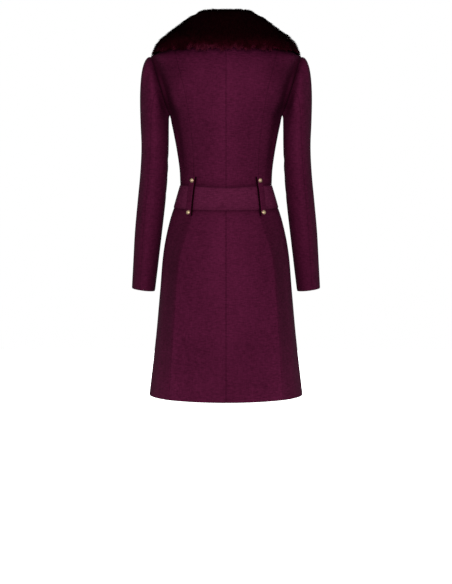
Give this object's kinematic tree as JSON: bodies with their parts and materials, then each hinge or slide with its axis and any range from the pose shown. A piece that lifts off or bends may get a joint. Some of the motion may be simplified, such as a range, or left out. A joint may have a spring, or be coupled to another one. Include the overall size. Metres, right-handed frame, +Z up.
{
  "type": "long coat",
  "caption": "Knee-length waisted coat filled out as worn, with long two-piece sleeves, an inset waistband, flared panelled skirt and deep fur shawl collar.",
  "frame": {"origin": "midway between the two shoulder seams at the base of the neck, where the wearer's shoulders hold the coat up", "axes": "+Z up, -Y the coat's front, +Y its back, +X the wearer's left"},
  "size_m": [0.5072, 0.3075, 1.0261],
  "materials": {
    "wool": "plum wool coating with a short brushed nap",
    "wool_band": "the same plum wool, a little lighter where its nap runs across",
    "fur": "dense short fur, nearly black with a wine red edge",
    "gold_metal": "polished pale gold dome"
  },
  "bodies": {
    "root": {"bodice_back_left": "wool", "bodice_back_right": "wool", "bodice_side_back_left": "wool", "bodice_side_back_right": "wool", "bodice_side_front_left": "wool", "bodice_side_front_right": "wool", "bodice_front_left": "wool", "bodice_front_right": "wool", "waistband_back": "wool_band", "waistband_front_left": "wool_band", "waistband_front_right": "wool_band", "skirt_back_left": "wool", "skirt_back_right": "wool", "skirt_side_back_left": "wool", "skirt_side_back_right": "wool", "skirt_side_front_left": "wool", "skirt_side_front_right": "wool", "skirt_front_left": "wool", "skirt_front_right": "wool", "sleeve_top_left": "wool", "sleeve_top_right": "wool", "sleeve_under_left": "wool", "sleeve_under_right": "wool", "belt_loop_left": "wool", "belt_loop_right": "wool", "collar_back": "fur", "collar_lapel_left": "fur", "collar_lapel_right": "fur", "stud_upper_left": "gold_metal", "stud_upper_right": "gold_metal", "stud_lower_left": "gold_metal", "stud_lower_right": "gold_metal", "front_button_1": "gold_metal", "front_button_2": "gold_metal", "front_button_3": "gold_metal", "front_button_4": "gold_metal"}
  },
  "joints": []
}
